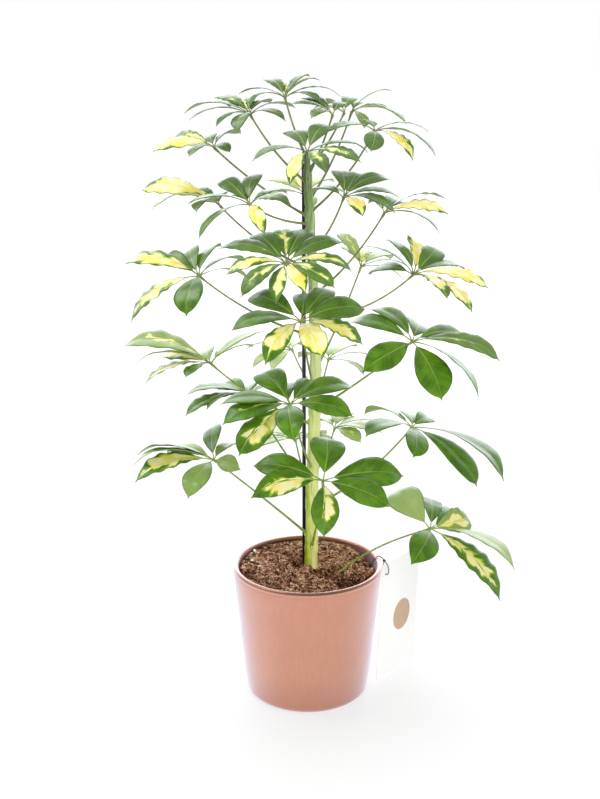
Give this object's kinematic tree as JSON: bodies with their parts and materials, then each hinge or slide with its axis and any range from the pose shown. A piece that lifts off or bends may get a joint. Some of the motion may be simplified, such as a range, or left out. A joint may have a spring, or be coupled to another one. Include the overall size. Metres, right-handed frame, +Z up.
{
  "type": "potted umbrella plant",
  "caption": "Variegated umbrella plant with leaves fanned around a staked green stem, growing in a tapered copper-glazed pot with a blank card on a string.",
  "frame": {"origin": "centre of the pot's flat foot, on the surface it stands on", "axes": "+Z up along the pot's axis and the stem; -Y is the plant's front; +X is to the right seen from the front"},
  "size_m": [0.4736, 0.3643, 0.775],
  "materials": {
    "copper_glaze": "satin metallic copper glaze",
    "peat": "loose peat and coir crumb, matt",
    "green_stem": "young green bark, semi-matt",
    "coated_rod": "gloss black coating",
    "leaf": "waxy leaf, green with cream and yellow variegation",
    "white_card": "uncoated white card",
    "tan_print": "plain tan paper disc",
    "grey_string": "twisted dark grey string"
  },
  "bodies": {
    "root": {"pot": "copper_glaze", "soil": "peat", "stem": "green_stem", "stake": "coated_rod", "tag_card": "white_card", "tag_disc": "tan_print", "tag_string": "grey_string", "tag_knot": "grey_string", "leaf_01_low_right": "leaf", "leaf_02_left": "leaf", "leaf_03_back": "leaf", "leaf_04_front": "leaf", "leaf_05_back": "leaf", "leaf_06_right": "leaf", "leaf_07_back_left": "leaf", "leaf_08_front": "leaf", "leaf_09_back": "leaf", "leaf_10_back_left": "leaf", "leaf_11_left": "leaf", "leaf_12_right": "leaf", "leaf_13_front": "leaf", "leaf_14_back": "leaf", "leaf_15_right": "leaf", "leaf_16_left": "leaf", "leaf_17_front": "leaf", "leaf_18_left": "leaf", "leaf_19_right": "leaf", "leaf_20_back": "leaf", "leaf_21_front_left": "leaf", "leaf_22_front_right": "leaf", "leaf_23_left": "leaf", "leaf_24_front": "leaf", "leaf_25_right": "leaf", "leaf_26_left": "leaf", "leaf_27_young_front": "leaf", "leaf_28_young_right": "leaf", "leaf_29_young_back": "leaf", "leaf_30_top": "leaf"}
  },
  "joints": []
}
